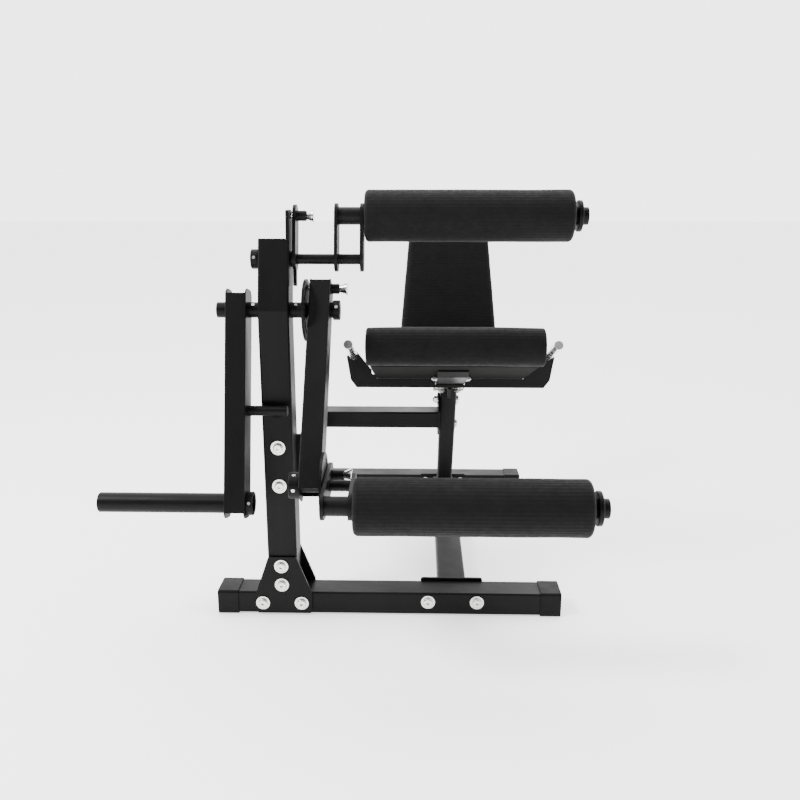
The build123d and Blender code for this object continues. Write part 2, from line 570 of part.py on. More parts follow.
def build_axle(screws):
    """Main axle with what is fixed to its right half; adds its screws to the list."""
    shaft = rod_x(LEVER_HUB_X0, 196, AXLE, SHAFT_R)
    export_node("main_axle", chamfer(shaft.edges().filter_by(GeomType.CIRCLE), 1.0))
    collar, more = collar_with_screws(SWING_X1 + 6.4, 195, AXLE, 24, SHAFT_R + FIT, 187, (-60, 60))
    export_node("axle_end_collar", collar)
    screws += more
    disc = rod_x(DISC_X0, DISC_X1, AXLE, 75) + rod_x(POST + HUB_PLAY, DISC_X0, AXLE, HUB_R)
    disc -= along_x(AXLE, POST, DISC_X1 + 1, SHAFT_R + FIT)
    for step in range(24):
        turn = radians(SWING_LEAN + 180 + 15 * step)
        hole = (AXLE[0] - INDEX_R * sin(turn), AXLE[1] - INDEX_R * cos(turn))
        disc -= along_x(hole, DISC_X0 - 1, DISC_X1 + 1)
    disc -= screw_hole(89, AXLE, HUB_R, -35.0)
    screws.append(set_screw(89, AXLE, HUB_R, SHAFT_R, -35.0))
    export_node("index_disc", disc)


# ---------------------------------------------------------------- pop-pins
def pin_barrel(x0, x1, yz):
    """Threaded barrel that guides a pop-pin."""
    barrel = rod_x(x0, x1, yz, BARREL_R)
    barrel = chamfer(barrel.edges().filter_by(GeomType.CIRCLE).sort_by(Axis.X)[-1], 1.0)
    return barrel - along_x(yz, x0 - 1, x1 + 1, PIN_R + FIT)


def pop_pin(nose_x, knob_x, end_x, yz):
    """Pin with a flared pull knob."""
    pin = rod_x(nose_x, knob_x + 2, yz, PIN_R)
    pin = chamfer(pin.edges().filter_by(GeomType.CIRCLE).sort_by(Axis.X)[0], 1.5)
    profile = make_face(Polyline((knob_x, 0), (knob_x, 9.0), (end_x - 5, 15.5), (end_x - 1.5, 17.0),
                                 (end_x, 15.5), (end_x, 0), close=True))
    knob = revolve(profile, axis=Axis.X)
    return pin + Pos(0, yz[0], yz[1]) * knob


# ---------------------------------------------------------------- swing arm
def build_swing_arm():
    arm = leaned(SWING_LEAN, AXLE, arm_tube(SWING_X0, SWING_X1, 73, 64, 453, 468, 18))
    arm += rod_x(DISC_X1 + 0.6, SWING_X1 + 6, AXLE, HUB_R)
    arm -= along_x(AXLE, DISC_X1, SWING_X1 + 10, SHAFT_R + FIT)
    pin_at = on_lean(SWING_LEAN, AXLE, -INDEX_R)
    arm -= along_x(pin_at, SWING_X0 - 1, SWING_X1 + 1)
    arm -= along_x(CRANK_PIVOT, SWING_X0 - 1, SWING_X1 + 1, BUSH_R)
    export_node("swing_arm", arm)
    bushing = ring_x(SWING_X0 - 0.4, SECTOR_X1, CRANK_PIVOT, BUSH_R - FIT, SHAFT_R + FIT)
    export_node("crank_bush", bushing)
    export_node("swing_pin_barrel", pin_barrel(SWING_X1, SWING_X1 + 19, pin_at))
    export_node("swing_pop_pin", pop_pin(DISC_X1 + PIN_CLEAR, SWING_X1 + 19.4, SWING_X1 + 39, pin_at))

    sector = rod_x(SWING_X1, SECTOR_X1, CRANK_PIVOT, 75)
    sector -= along_x(CRANK_PIVOT, SWING_X1 - 1, SECTOR_X1 + 1, BUSH_R)
    pin_turn = degrees_of(CRANK_PIVOT, CRANK_PIN)
    for step in range(-4, 5):
        turn = radians(pin_turn + 15 * step)
        hole = (CRANK_PIVOT[0] + INDEX_R * cos(turn), CRANK_PIVOT[1] + INDEX_R * sin(turn))
        sector -= along_x(hole, SWING_X1 - 1, SECTOR_X1 + 1)
    export_node("sector_plate", sector)


def degrees_of(centre, point):
    """Direction from one (y, z) place to another."""
    return degrees(atan2(point[1] - centre[1], point[0] - centre[0]))


# ---------------------------------------------------------------- cranks with their rollers
def roller_tube(x0, foam_x0, yz):
    tube = ring_x(x0, foam_x0 + FOAM_LENGTH + TUBE_BEYOND, yz, ROLLER_TUBE_R, ROLLER_TUBE_R - WALL)
    rim = tube.edges().filter_by(GeomType.CIRCLE).filter_by(lambda e: e.radius > ROLLER_TUBE_R - 0.01)
    return chamfer(rim.sort_by(Axis.X)[-1], 1.0)


def roller_end_collar(foam_x0, yz):
    x0 = foam_x0 + FOAM_LENGTH + END_COLLAR_GAP
    ring = ring_x(x0, x0 + 11, yz, 37.5, ROLLER_TUBE_R + FIT)
    return chamfer(ring.edges().filter_by(GeomType.CIRCLE).filter_by(lambda e: e.radius > 37), 1.5)


def foam_roller(x0, yz):
    foam = rod_x(x0, x0 + FOAM_LENGTH, yz, FOAM_R)
    foam = fillet(foam.edges().filter_by(GeomType.CIRCLE), 10.0)
    return foam - rod_x(x0 - 1, x0 + FOAM_LENGTH + 1, yz, ROLLER_TUBE_R + FOAM_GAP)


def tube_plug(foam_x0, yz):
    x1 = foam_x0 + FOAM_LENGTH + TUBE_BEYOND
    return rod_x(x1 - 16, x1, yz, ROLLER_TUBE_R - WALL - FIT)


def build_lower_crank():
    rod = rod_x(ROD_COLLAR_X0, CRANK_OUTER_X0 + 8, CRANK_PIVOT, SHAFT_R)
    export_node("crank_rod", chamfer(rod.edges().filter_by(GeomType.CIRCLE), 1.0))
    inner = link_plate(CRANK_INNER_X0, CRANK_INNER_X0 + 8, CRANK_ROLLER, CRANK_PIN, 30)
    inner -= along_x(CRANK_PIN, CRANK_INNER_X0 - 1, CRANK_INNER_X0 + 9)
    outer = link_plate(CRANK_OUTER_X0, CRANK_OUTER_X0 + 8, CRANK_ROLLER, CRANK_PIVOT, 30)
    outer -= along_x(CRANK_ROLLER, CRANK_OUTER_X0 - 1, CRANK_OUTER_X0 + 9, ROLLER_TUBE_R + FIT)
    plates = [plate - along_x(CRANK_PIVOT, 100, 300, SHAFT_R + FIT) for plate in (inner, outer)]
    export_node("crank_plates", solids_of(*plates))
    export_node("lower_roller_tube", roller_tube(CRANK_INNER_X0 + 8, LOWER_FOAM_X0, CRANK_ROLLER))
    export_node("lower_foam_roller", foam_roller(LOWER_FOAM_X0, CRANK_ROLLER))
    export_node("lower_tube_plug", tube_plug(LOWER_FOAM_X0, CRANK_ROLLER))
    collar, screws = collar_with_screws(ROD_COLLAR_X0, SWING_X0 - 1, CRANK_PIVOT, 30, SHAFT_R + FIT,
                                        ROD_COLLAR_X0 + 11, (-95, -20))
    export_node("crank_collars", solids_of(collar, roller_end_collar(LOWER_FOAM_X0, CRANK_ROLLER)))
    export_node("crank_set_screws", solids_of(*screws))
    x0 = CRANK_INNER_X0 + 8
    export_node("crank_pin_barrel", pin_barrel(x0, x0 + 27, CRANK_PIN))
    export_node("crank_pop_pin", pop_pin(SECTOR_X1 + PIN_CLEAR, x0 + 27.4, x0 + 46, CRANK_PIN))


def build_thigh_crank():
    roller = on_lean(POST_LEAN, THIGH_BAR, -THIGH_CENTRES)
    bar = rod_x(THIGH_COLLAR_X0, THIGH_OUTER_X0 + 8, THIGH_BAR, SHAFT_R)
    export_node("thigh_bar", chamfer(bar.edges().filter_by(GeomType.CIRCLE), 1.0))
    plates = []
    for x0 in (THIGH_INNER_X0, THIGH_OUTER_X0):
        plate = link_plate(x0, x0 + 8, THIGH_BAR, roller, 30)
        plates.append(plate - along_x(THIGH_BAR, x0 - 1, x0 + 9, SHAFT_R + FIT))
    plates[1] -= along_x(roller, THIGH_OUTER_X0 - 1, THIGH_OUTER_X0 + 9, ROLLER_TUBE_R + FIT)
    export_node("thigh_plates", solids_of(*plates))

    arm = link_plate(THIGH_ARM_X0, THIGH_ARM_X0 + 8, THIGH_BAR, roller, 27)
    arm += link_plate(THIGH_ARM_X0, THIGH_ARM_X0 + 8, THIGH_BAR, on_lean(POST_LEAN, THIGH_BAR, 58, 3), 7)
    arm += rod_x(POST + HUB_PLAY, THIGH_ARM_X0, THIGH_BAR, HUB_R)
    arm -= along_x(THIGH_BAR, POST, THIGH_ARM_X0 + 9, SHAFT_R + FIT)
    arm -= along_x(roller, THIGH_ARM_X0 - 1, THIGH_ARM_X0 + 9)
    export_node("thigh_arm_plate", arm)

    export_node("thigh_roller_tube", roller_tube(THIGH_INNER_X0 + 8, THIGH_FOAM_X0, roller))
    export_node("thigh_foam_roller", foam_roller(THIGH_FOAM_X0, roller))
    export_node("thigh_tube_plug", tube_plug(THIGH_FOAM_X0, roller))
    collar, screws = collar_with_screws(THIGH_COLLAR_X0, -THIGH_BUSH_FLANGE - HUB_PLAY, THIGH_BAR, 24,
                                        SHAFT_R + FIT, THIGH_COLLAR_X0 + 8.5, (-75,))
    export_node("thigh_collars", solids_of(collar, roller_end_collar(THIGH_FOAM_X0, roller)))
    export_node("thigh_set_screw", solids_of(*screws))
    x0 = THIGH_ARM_X0 + 8
    export_node("thigh_pin_barrel", pin_barrel(x0, x0 + 23, roller))
    export_node("thigh_pop_pin", pop_pin(POST + PIN_CLEAR, x0 + 23.4, x0 + 41, roller))


def build_thigh_index_plate():
    """Fan-shaped plate welded on the post's top, with an arc of index holes about the thigh bar."""
    x0, x1, reach = POST - 8, POST, THIGH_CENTRES + 13
    front = (50.0, 1031.0)
    back_turn = radians(42)
    back = (THIGH_BAR[0] + reach * cos(back_turn), THIGH_BAR[1] + reach * sin(back_turn))
    arc_mid = (THIGH_BAR[0] + reach * cos(radians(70)), THIGH_BAR[1] + reach * sin(radians(70)))
    foot_front, foot_back = post_path_point(1.0), post_path_point(POST - 1.0)
    edge = [Line(foot_back, foot_front), Line(foot_front, front), ThreePointArc(front, arc_mid, back),
            Line(back, foot_back)]
    plate = extrude(Plane.YZ.offset(x0) * make_face(Curve() + edge), amount=x1 - x0, dir=(1, 0, 0))
    for step in range(-1, 4):
        plate -= along_x(on_lean(POST_LEAN + 10 * step, THIGH_BAR, -THIGH_CENTRES), x0 - 1, x1 + 1)
    export_node("thigh_index_plate", plate)


def main():
    os.makedirs("parts", exist_ok=True)
    build_feet()
    build_gussets()
    build_base_beam()
    build_post()
    build_tube_caps()
    build_post_bushes()
    build_stop_bumper()
    build_braces()
    build_seat_post()
    build_seat_rail()
    build_seat()
    build_handles()
    build_backrest()
    build_fasteners()
    build_lever()
    build_swing_arm()
    build_lower_crank()
    build_thigh_crank()
    build_thigh_index_plate()


main()
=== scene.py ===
import json
from math import cos, pi, radians, sin, tau

import bmesh
import bpy
import numpy as np
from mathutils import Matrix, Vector, noise


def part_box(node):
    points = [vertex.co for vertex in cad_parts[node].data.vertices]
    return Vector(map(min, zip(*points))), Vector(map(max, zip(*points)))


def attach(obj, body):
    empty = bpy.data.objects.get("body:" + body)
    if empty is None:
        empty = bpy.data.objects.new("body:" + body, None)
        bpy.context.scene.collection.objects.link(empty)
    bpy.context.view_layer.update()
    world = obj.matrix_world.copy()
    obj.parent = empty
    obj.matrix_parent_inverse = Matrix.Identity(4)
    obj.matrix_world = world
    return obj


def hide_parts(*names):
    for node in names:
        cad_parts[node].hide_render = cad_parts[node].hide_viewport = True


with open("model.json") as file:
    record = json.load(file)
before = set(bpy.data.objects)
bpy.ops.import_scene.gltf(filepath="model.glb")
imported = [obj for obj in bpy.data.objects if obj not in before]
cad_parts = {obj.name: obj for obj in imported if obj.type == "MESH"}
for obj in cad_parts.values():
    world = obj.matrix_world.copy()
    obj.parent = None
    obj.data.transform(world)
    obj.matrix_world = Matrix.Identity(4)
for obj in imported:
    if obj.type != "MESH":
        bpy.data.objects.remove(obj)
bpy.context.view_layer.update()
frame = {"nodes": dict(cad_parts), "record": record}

NODES = frame["nodes"]

# Camera: place and direction in the row frame, metres; field of view as a lens on a 36 mm sensor.
CAMERA_AT = (0.1835, -2.2335, 1.072)
CAMERA_PITCH, CAMERA_YAW = 14.31, 1.31      # degrees down, degrees to the left of +Y
CAMERA_LENS = 36.55

SEAT_TILT = radians(18.0)                   # the seat falls to the back by this much
BOARD_SETBACK = 0.035                       # the seat's origin is this far in front of its board
BOARD_THICKNESS = 0.0122
RIB_PITCH = 0.0092                          # one rib of the upholstery
RIB_HEIGHT = 0.00022
RIB_STEPS = 6                               # mesh rows in one rib
ROLLER_BORE_R = 0.0216
FLOOR_HALF_SIZE = 30.0
FLOOR_LIFT = 1.1                            # the over-exposed white of a studio floor
COVE_BRIGHT, ROOM_DIM = 3.9, 0.45           # studio brightness behind and in front of the machine


# ---------------------------------------------------------------- camera, floor and light
def make_camera():
    data = bpy.data.cameras.new("camera")
    data.lens, data.sensor_width = CAMERA_LENS, 36.0
    data.clip_end = 200.0
    camera = bpy.data.objects.new("camera", data)
    pitch, yaw = radians(CAMERA_PITCH), radians(CAMERA_YAW)
    ahead = Vector((-sin(yaw) * cos(pitch), cos(yaw) * cos(pitch), -sin(pitch)))
    camera.location = CAMERA_AT
    camera.rotation_mode = "QUATERNION"
    camera.rotation_quaternion = ahead.to_track_quat("-Z", "Y")
    bpy.context.scene.collection.objects.link(camera)
    bpy.context.scene.camera = camera


def make_light(name, place, target, size, power):
    data = bpy.data.lights.new(name, "AREA")
    data.shape, data.size, data.energy = "DISK", size, power
    lamp = bpy.data.objects.new(name, data)
    lamp.location = place
    lamp.rotation_mode = "QUATERNION"
    lamp.rotation_quaternion = (Vector(target) - Vector(place)).to_track_quat("-Z", "Y")
    bpy.context.scene.collection.objects.link(lamp)


def make_studio():
    size = FLOOR_HALF_SIZE
    corners = [(-size, -size, 0), (size, -size, 0), (size, size, 0), (-size, size, 0)]
    mesh = bpy.data.meshes.new("floor")
    mesh.from_pydata(corners, [], [(0, 1, 2, 3)])
    floor = bpy.data.objects.new("floor", mesh)
    bpy.context.scene.collection.objects.link(floor)
    floor.data.materials.append(floor_material())
    world = bpy.data.worlds.new("studio")
    world.use_nodes = True
    nodes, links = world.node_tree.nodes, world.node_tree.links
    background = nodes["Background"]
    background.inputs["Color"].default_value = (1.0, 1.0, 1.0, 1)
    coords = nodes.new("ShaderNodeTexCoord")
    split = nodes.new("ShaderNodeSeparateXYZ")
    links.new(coords.outputs["Generated"], split.inputs["Vector"])
    # a white cove behind the machine and a dim room in front of it
    strength = remap(nodes, links, split.outputs["Y"], ROOM_DIM, COVE_BRIGHT, -0.45, 0.25)
    links.new(strength, background.inputs["Strength"])
    bpy.context.scene.world = world
    make_light("key", (-2.4, -1.6, 3.6), (0.0, 0.2, 0.4), 1.0, 210)
    make_light("top", (0.3, 0.8, 4.4), (0.1, 0.1, 0.3), 2.6, 60)


# ---------------------------------------------------------------- materials
def material(name):
    """New material, with its nodes, links and main shader."""
    mat = bpy.data.materials.new(name)
    mat.use_nodes = True
    nodes = mat.node_tree.nodes
    return mat, nodes, mat.node_tree.links, nodes["Principled BSDF"]


def noise_node(nodes, links, scale, detail=4.0, rough=0.5, stretch=None):
    """Noise in object space, optionally stretched."""
    coords = nodes.new("ShaderNodeTexCoord")
    source = coords.outputs["Object"]
    if stretch:
        mapping = nodes.new("ShaderNodeMapping")
        mapping.inputs["Scale"].default_value = stretch
        links.new(source, mapping.inputs["Vector"])
        source = mapping.outputs["Vector"]
    tex = nodes.new("ShaderNodeTexNoise")
    tex.inputs["Scale"].default_value = scale
    tex.inputs["Detail"].default_value = detail
    tex.inputs["Roughness"].default_value = rough
    links.new(source, tex.inputs["Vector"])
    return tex.outputs["Fac"]


def ramp(nodes, links, source, stops):
    """Colour ramp from (position, colour) stops."""
    node = nodes.new("ShaderNodeValToRGB")
    elements = node.color_ramp.elements
    while len(elements) < len(stops):
        elements.new(0.5)
    for element, (place, colour) in zip(elements, stops):
        element.position, element.color = place, (*colour, 1)
    links.new(source, node.inputs["Fac"])
    return node.outputs["Color"]


def remap(nodes, links, source, low, high, from_low=0.3, from_high=0.7):
    """Stretch a value's range from_low..from_high to low..high."""
    node = nodes.new("ShaderNodeMapRange")
    node.inputs["From Min"].default_value, node.inputs["From Max"].default_value = from_low, from_high
    node.inputs["To Min"].default_value, node.inputs["To Max"].default_value = low, high
    links.new(source, node.inputs["Value"])
    return node.outputs["Result"]


def add_bump(nodes, links, shader, heights):
    """Chain of bumps: each height is (socket, distance in metres)."""
    normal = None
    for source, distance in heights:
        bump = nodes.new("ShaderNodeBump")
        bump.inputs["Distance"].default_value = distance
        bump.inputs["Strength"].default_value = 1.0
        links.new(source, bump.inputs["Height"])
        if normal:
            links.new(normal, bump.inputs["Normal"])
        normal = bump.outputs["Normal"]
    links.new(normal, shader.inputs["Normal"])


def grey(value):
    return (value, value, value)


def floor_material():
    mat, nodes, links, shader = material("floor_paint")
    tone = noise_node(nodes, links, 0.6, 2.0)
    links.new(ramp(nodes, links, tone, [(0.3, grey(0.92)), (0.7, grey(0.93))]), shader.inputs["Base Color"])
    shader.inputs["Specular IOR Level"].default_value = 0.1
    shader.inputs["Emission Color"].default_value = (1, 1, 1, 1)
    shader.inputs["Emission Strength"].default_value = FLOOR_LIFT
    shader.inputs["Roughness"].default_value = 0.75
    return mat


def powder_coat():
    """Black powder coat: fine orange peel, faint handling marks, and a painted highlight that makes sharp
    edges a little lighter.
    """
    mat, nodes, links, shader = material("powder_coat")
    tone = noise_node(nodes, links, 14.0, 5.0)
    base = ramp(nodes, links, tone, [(0.3, grey(0.0016)), (0.7, grey(0.0024))])
    geometry = nodes.new("ShaderNodeNewGeometry")
    # painted highlight: convex edges are mixed towards a lighter grey, standing in for light caught on
    # rounded edges
    edge_highlight = remap(nodes, links, geometry.outputs["Pointiness"], 0.0, 0.5, 0.53, 0.62)
    mix = nodes.new("ShaderNodeMix")
    mix.data_type = "RGBA"
    links.new(edge_highlight, mix.inputs["Factor"])
    links.new(base, mix.inputs["A"])
    mix.inputs["B"].default_value = (*grey(0.006), 1)
    links.new(mix.outputs["Result"], shader.inputs["Base Color"])
    shader.inputs["Specular IOR Level"].default_value = 0.10
    smear = noise_node(nodes, links, 9.0, 3.0, 0.6, (1, 1, 0.35))
    links.new(remap(nodes, links, smear, 0.36, 0.50), shader.inputs["Roughness"])
    peel = noise_node(nodes, links, 900.0, 2.0)
    wave = noise_node(nodes, links, 140.0, 2.0)
    add_bump(nodes, links, shader, [(peel, 0.00006), (wave, 0.00010)])
    return mat


def bright_metal(name, base, rough_low, rough_high):
    """Plated metal with a smudged gloss."""
    mat, nodes, links, shader = material(name)
    shader.inputs["Metallic"].default_value = 1.0
    tone = noise_node(nodes, links, 60.0, 4.0)
    dark = tuple(0.88 * part for part in base)
    links.new(ramp(nodes, links, tone, [(0.35, dark), (0.65, base)]), shader.inputs["Base Color"])
    smear = noise_node(nodes, links, 45.0, 5.0, 0.65)
    links.new(remap(nodes, links, smear, rough_low, rough_high), shader.inputs["Roughness"])
    grain = noise_node(nodes, links, 500.0, 3.0)
    add_bump(nodes, links, shader, [(grain, 0.00001)])
    return mat


def moulded_plastic(name, value, rough):
    mat, nodes, links, shader = material(name)
    tone = noise_node(nodes, links, 30.0, 4.0)
    stops = [(0.3, grey(value * 0.85)), (0.7, grey(value * 1.15))]
    links.new(ramp(nodes, links, tone, stops), shader.inputs["Base Color"])
    shader.inputs["Specular IOR Level"].default_value = 0.10
    gloss = noise_node(nodes, links, 25.0, 3.0)
    links.new(remap(nodes, links, gloss, rough - 0.06, rough + 0.06), shader.inputs["Roughness"])
    grain = noise_node(nodes, links, 1400.0, 2.0)
    add_bump(nodes, links, shader, [(grain, 0.00008)])
    return mat


def ribbed_cover():
    """Close black knit over foam: tiny weave, soft sheen, slightly uneven tone."""
    mat, nodes, links, shader = material("ribbed_cover")
    tone = noise_node(nodes, links, 22.0, 5.0)
    base = ramp(nodes, links, tone, [(0.3, grey(0.0040)), (0.7, grey(0.0056))])
    links.new(base, shader.inputs["Base Color"])
    fuzz = noise_node(nodes, links, 80.0, 4.0)
    links.new(remap(nodes, links, fuzz, 0.62, 0.80), shader.inputs["Roughness"])
    shader.inputs["Specular IOR Level"].default_value = 0.08
    shader.inputs["Sheen Weight"].default_value = 0.03
    shader.inputs["Sheen Roughness"].default_value = 0.5
    coords = nodes.new("ShaderNodeTexCoord")
    weave = nodes.new("ShaderNodeTexVoronoi")
    weave.feature = "F1"
    weave.inputs["Scale"].default_value = 1100.0
    links.new(coords.outputs["Object"], weave.inputs["Vector"])
    grain = noise_node(nodes, links, 700.0, 3.0)
    add_bump(nodes, links, shader, [(weave.outputs["Distance"], 0.00012), (grain, 0.00010)])
    return mat


def stained_board():
    """Black-stained plywood with a little grain."""
    mat, nodes, links, shader = material("stained_board")
    shader.inputs["Specular IOR Level"].default_value = 0.05
    grain = noise_node(nodes, links, 60.0, 6.0, 0.6, (0.12, 1, 1))
    stops = [(0.35, (0.0016, 0.0015, 0.0014)), (0.65, (0.0032, 0.0030, 0.0027))]
    links.new(ramp(nodes, links, grain, stops), shader.inputs["Base Color"])
    links.new(remap(nodes, links, grain, 0.85, 0.95), shader.inputs["Roughness"])
    add_bump(nodes, links, shader, [(grain, 0.00025)])
    return mat


def make_materials():
    return {
        "frame_paint": powder_coat(),
        "black_plastic": moulded_plastic("black_plastic", 0.0040, 0.50),
        "bumper_rubber": moulded_plastic("bumper_rubber", 0.0045, 0.72),
        "zinc_steel": bright_metal("zinc_plate", (0.80, 0.80, 0.78), 0.24, 0.38),
        "chrome": bright_metal("chrome_plate", (0.90, 0.90, 0.91), 0.20, 0.30),
        "seat_cover": ribbed_cover(),
        "pad_board": stained_board(),
    }


MATERIALS = make_materials()
MATERIALS["roller_foam"] = MATERIALS["seat_cover"]


def dress_cad_nodes():
    """Every carried-over CAD node gets its slot's material."""
    slots = {part["node"]: part["material_slot"] for part in frame["record"]["subparts"]}
    for name, obj in NODES.items():
        obj.data.materials.clear()
        obj.data.materials.append(MATERIALS[slots[name]])
        for polygon in obj.data.polygons:
            polygon.material_index = 0


# ---------------------------------------------------------------- mesh helpers
def add_piece(name, verts, faces, body, slot):
    """Smooth-shaded mesh piece that rides on a body."""
    mesh = bpy.data.meshes.new(name)
    mesh.from_pydata([tuple(v) for v in verts], [], faces)
    bm = bmesh.new()
    bm.from_mesh(mesh)
    bmesh.ops.remove_doubles(bm, verts=bm.verts, dist=1e-6)
    bmesh.ops.recalc_face_normals(bm, faces=bm.faces)
    for face in bm.faces:
        face.smooth = True
    bm.to_mesh(mesh)
    bm.free()
    obj = bpy.data.objects.new(name, mesh)
    bpy.context.scene.collection.objects.link(obj)
    mesh.materials.append(MATERIALS[slot])
    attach(obj, body)
    return obj


def loft(loops, ring=False):
    """Vertices and faces of a skin through loops of equal count; a ring joins the last loop to the first."""
    count = len(loops[0])
    verts = np.concatenate(loops)
    pairs = [(j, j + 1) for j in range(len(loops) - 1)]
    if ring:
        pairs.append((len(loops) - 1, 0))
    faces = []
    for this, following in pairs:
        for i in range(count):
            k = (i + 1) % count
            faces.append((this * count + i, this * count + k, following * count + k, following * count + i))
    return verts, faces


def resample(points, count):
    """Evenly spaced points along a closed outline, and its length."""
    closed = np.vstack([points, points[:1]])
    steps = np.hypot(*np.diff(closed, axis=0).T)
    along = np.concatenate([[0], np.cumsum(steps)])
    wanted = np.linspace(0, along[-1], count, endpoint=False)
    even = [np.interp(wanted, along, closed[:, axis]) for axis in (0, 1)]
    return np.column_stack(even), along[-1]


def soften(points, rounds):
    """Rounds the corners of a closed, evenly sampled outline."""
    for _ in range(rounds):
        points = 0.25 * np.roll(points, 1, 0) + 0.5 * points + 0.25 * np.roll(points, -1, 0)
    return points


def outward(points):
    """Unit normals of a closed outline, pointing out."""
    along = np.roll(points, -1, 0) - np.roll(points, 1, 0)
    normal = np.column_stack([along[:, 1], -along[:, 0]])
    normal /= np.linalg.norm(normal, axis=1)[:, None] + 1e-12
    centre = points.mean(0)
    if np.sum((points - centre) * normal) < 0:
        normal = -normal
    return normal


def arc(centre, radius, start, end, count):
    """Points of an arc between two directions in degrees."""
    turns = np.radians(np.linspace(start, end, count))
    return [(centre[0] + radius * cos(t), centre[1] + radius * sin(t)) for t in turns]


def low_noise(point, scale, seed):
    """Slow unevenness of hand-fitted foam, about -1 to 1."""
    return noise.noise(Vector(point) * scale + Vector((seed, seed * 0.7, -seed)))


# ---------------------------------------------------------------- upholstery
def seat_frame():
    """Origin, back and up directions of the tilted seat, read off its board."""
    verts = np.array([v.co for v in NODES["seat_board"].data.vertices])
    ahead = np.array((0, cos(SEAT_TILT), -sin(SEAT_TILT)))
    up = np.array((0, sin(SEAT_TILT), cos(SEAT_TILT)))
    a, h = verts @ ahead, verts @ up
    origin = ahead * (a.min() - BOARD_SETBACK) + up * h.min()
    return origin, ahead, up


SEAT_ORIGIN, SEAT_AHEAD, SEAT_UP = seat_frame()


def from_seat(x, a, h):
    """Points given across (x), along (a) and square to (h) the seat, in the row frame."""
    return np.outer(np.ones_like(a), SEAT_ORIGIN) + np.outer(a, SEAT_AHEAD) + np.outer(h, SEAT_UP) \
        + np.outer(x * np.ones_like(a), (1, 0, 0))


def seat_extent(node):
    """Lowest and highest (x, a, h) of a CAD node in the seat's frame."""
    verts = np.array([v.co for v in NODES[node].data.vertices])
    local = verts - SEAT_ORIGIN
    local = np.column_stack([verts[:, 0], local @ SEAT_AHEAD, local @ SEAT_UP])
    return local.min(0), local.max(0)


def end_stations(low, high, radius, steps, middle):
    """(position, inset) along a pad's length: rounded ends and an even middle."""
    rise = [(radius * (1 - cos(t)), radius * (1 - sin(t))) for t in np.linspace(0, pi / 2, steps)]
    start = [(low + along, inset) for along, inset in rise]
    centre = [(p, 0.0) for p in np.linspace(low + radius, high - radius, middle + 2)[1:-1]]
    return start + centre + [(high - along, inset) for along, inset in rise[::-1]]


def make_seat():
    """Long cushion with a thick rolled front; ribs run across it and fade at its sides."""
    low, high = seat_extent("seat_pad")
    board_t = BOARD_THICKNESS
    roll_r = (high[2] - low[2]) / 2
    roll = (low[1] + roll_r, roll_r)
    roll_end = roll[0] + 2.2 * roll_r           # here the roll has run out into the flat pad
    rear, thick, corner = high[1], 0.070, 0.016
    outline = arc(roll, roll_r, 270, 62, 60)
    outline += [(roll_end, thick)]
    outline += arc((rear - corner, thick - corner), corner, 90, 0, 8)
    outline += arc((rear - corner, board_t + corner), corner, 0, -90, 8)
    outline += [(roll[0] + 0.012, board_t), (roll[0] + 0.0075, 0.0008)]   # step in front of the board
    fine_points = 1200
    dense, length = resample(np.array(outline), fine_points)
    ribs = round(length / RIB_PITCH)
    loop, length = resample(soften(dense, 6), ribs * RIB_STEPS)
    normal = outward(loop)
    wave = np.cos(tau * np.arange(len(loop)) / RIB_STEPS)
    rib_start_h, rib_rise = 0.016, 0.01         # no ribs where the pad rests on the board
    wave *= np.clip((loop[:, 1] - rib_start_h) / rib_rise, 0, 1)
    half = thick / 2
    spine_a = np.clip(loop[:, 0], low[1] + roll_r, rear - half)
    spine_h = np.interp(spine_a, [roll[0], roll_end], [roll_r, (thick + board_t) / 2])
    spine = np.column_stack([spine_a, spine_h])

    rounding, side_gap, skin = 0.005, 0.0025, 0.0006
    crown_height, lump_height, side_bulge = 0.0022, 0.0007, 0.003
    fade_start, fade_length = 0.004, 0.010
    loops = []
    x0, x1 = low[0] + side_gap, high[0] - side_gap
    for x, inset in end_stations(x0, x1, rounding, 7, 42):
        fade = min(1.0, max(0.0, (min(x - x0, x1 - x) - fade_start) / fade_length))
        across = (x - (x0 + x1) / 2) / ((x1 - x0) / 2)
        crown = crown_height * (1 - across ** 2) * np.clip(normal[:, 1], 0, 1)
        lump = np.array([low_noise((x, p[0], p[1]), 9.0, 3.1) for p in loop[::RIB_STEPS]])
        lump = np.repeat(lump, RIB_STEPS) * lump_height
        reach = RIB_HEIGHT * wave * fade + crown + lump - inset - skin
        shape = loop + normal * reach[:, None]
        loops.append(from_seat(x, shape[:, 0], shape[:, 1]))
    edge = loop + normal * (-rounding - skin)
    for side, place in ((-1, x0), (1, x1)):
        extra = []
        for f in (0.12, 0.3, 0.5, 0.7, 0.86, 1.0):
            flat = edge * (1 - f) + spine * f
            bulge = side_bulge * (1 - (1 - f) ** 2)
            extra.append(from_seat(place + side * bulge, flat[:, 0], flat[:, 1]))
        loops = extra[::-1] + loops if side == -1 else loops + extra
    verts, faces = loft(loops)
    seat = add_piece("seat_cushion", verts, faces, "frame", "seat_cover")
    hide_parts("seat_pad")


def rounded_section(half_w, depth, front_r, back_r):
    """Outline (x, a) of the backrest seen from above: softer in front than behind."""
    points = arc((half_w - front_r, front_r), front_r, 0, -90, 9)
    points += arc((-half_w + front_r, front_r), front_r, -90, -180, 9)
    points += arc((-half_w + back_r, depth - back_r), back_r, 180, 90, 5)
    points += arc((half_w - back_r, depth - back_r), back_r, 90, 0, 5)
    return np.array(points)


def round_inset(radius, depth):
    """How far a quarter round stands back at this depth below its top."""
    if depth >= radius:
        return 0.0
    return radius - max(0.0, radius ** 2 - (radius - depth) ** 2) ** 0.5


